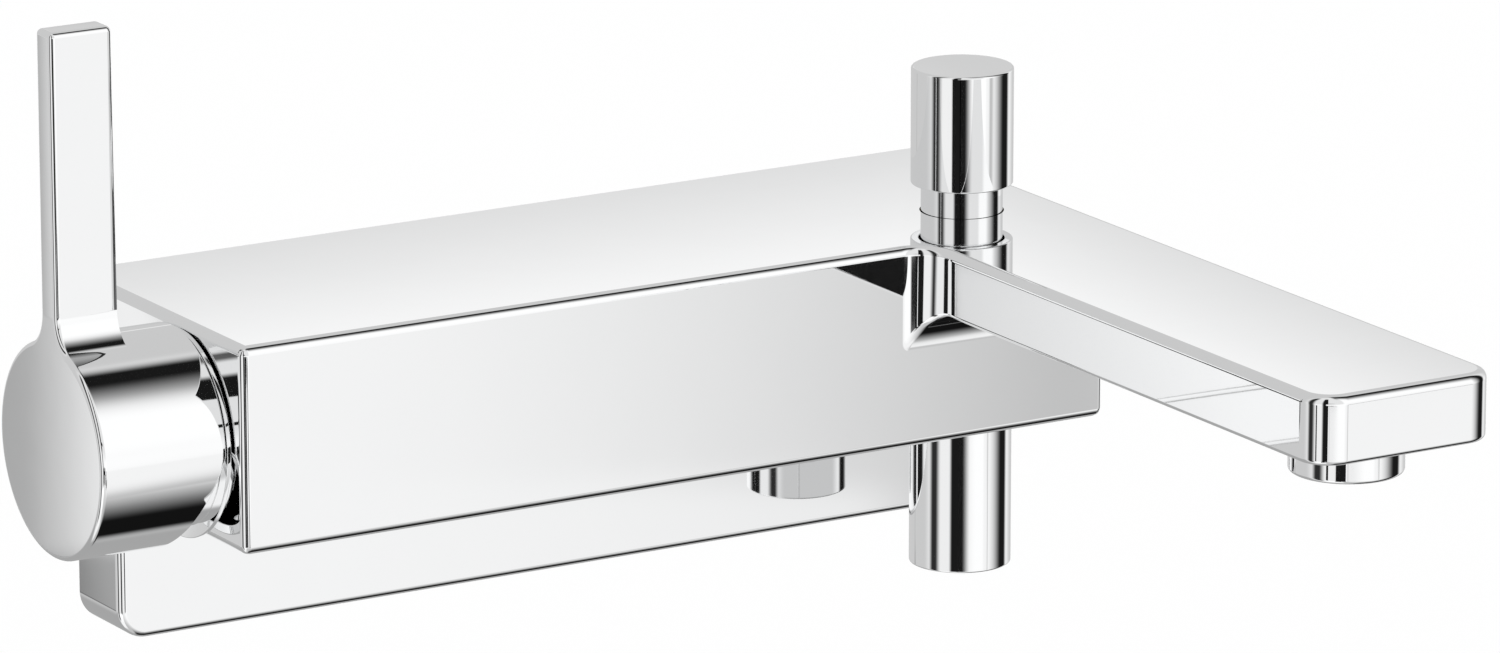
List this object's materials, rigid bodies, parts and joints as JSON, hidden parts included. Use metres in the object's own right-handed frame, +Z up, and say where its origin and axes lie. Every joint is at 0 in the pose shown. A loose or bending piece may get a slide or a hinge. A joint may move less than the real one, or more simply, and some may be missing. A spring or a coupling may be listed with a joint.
{
  "type": "wall mounted bath faucet",
  "caption": "Wall mounted single-lever bath mixer: long box body with a flat spout, side lever, pull-up diverter knob, shower outlet and wall apron.",
  "frame": {"origin": "on the wall plane, midway between the two supply pipes and level with them", "axes": "+X to the user's right along the body, -Y out of the wall towards the user, +Z up"},
  "size_m": [0.2705, 0.2645, 0.1615],
  "materials": {
    "chrome": "polished chrome plate on brass",
    "brass": "machined, bare",
    "copper": "drawn copper tube, bare",
    "stainless": "brushed",
    "white_plastic": "moulded",
    "grey_plastic": "moulded",
    "ceramic": "lapped ceramic",
    "rubber": "smooth"
  },
  "bodies": {
    "fixture": {"body_shell": "chrome", "apron_plate": "chrome", "handle_collar": "chrome", "diverter_bonnet": "chrome", "outlet_column": "chrome", "aerator_housing": "chrome", "union_nut_hot": "chrome", "union_nut_cold": "chrome", "valve_block": "brass", "cold_elbow": "brass", "diverter_housing": "brass", "retaining_nut": "brass", "inlet_tail_hot": "brass", "inlet_tail_cold": "brass", "s_union_hot": "brass", "s_union_cold": "brass", "cold_tube": "copper", "mixed_tube": "copper", "spout_tube": "copper", "mounting_frame": "stainless", "frame_posts": "stainless", "frame_screws": "stainless", "apron_screws": "stainless", "diverter_spring": "stainless", "check_spring": "stainless", "aerator_screen": "stainless", "cartridge_housing": "white_plastic", "cartridge_base": "white_plastic", "stem_guide": "white_plastic", "check_valve_body": "white_plastic", "aerator_insert": "grey_plastic", "fixed_disc": "ceramic", "port_seals": "rubber", "stem_o_ring": "rubber", "tube_o_rings": "rubber", "aerator_washer": "rubber", "inlet_washer_hot": "rubber", "inlet_washer_cold": "rubber"},
    "swivel": {"turn_sleeve": "white_plastic", "pivot_pin": "stainless"},
    "lever": {"handle": "chrome", "handle_grub_screw": "stainless", "cartridge_stem": "stainless"},
    "disc": {"disc_carrier": "white_plastic", "moving_disc": "ceramic"},
    "diverter": {"diverter_knob": "chrome", "diverter_stem": "stainless", "diverter_plug": "brass", "plug_seals": "rubber"},
    "poppet": {"check_poppet": "white_plastic"}
  },
  "joints": [
    {"name": "handle_turn", "type": "hinge", "parent": "fixture", "child": "swivel", "pos_m": [-0.1165, -0.05245, -0.0022], "axis": [1, 0, 0], "range_deg": [-25, 75]},
    {"name": "handle_tilt", "type": "hinge", "parent": "swivel", "child": "lever", "pos_m": [-0.1165, -0.05245, -0.0022], "axis": [0, -1, 0], "range_deg": [0, 18]},
    {"name": "disc_slide", "type": "slide", "parent": "swivel", "child": "disc", "axis": [0, 0, 1], "range_m": [0, 0.0029]},
    {"name": "diverter_lift", "type": "slide", "parent": "fixture", "child": "diverter", "axis": [0, 0, 1], "range_m": [0, 0.008], "stiffness_N_per_m": 250, "springref_m": -0.006, "deforming": ["diverter_spring"]},
    {"name": "check_open", "type": "slide", "parent": "fixture", "child": "poppet", "axis": [0, 0, -1], "range_m": [0, 0.003], "stiffness_N_per_m": 100, "springref_m": -0.004, "deforming": ["check_spring"]}
  ],
  "couplings": [
    {"joint": "disc_slide", "follows": "handle_tilt", "m_per_rad": 0.009}
  ]
}
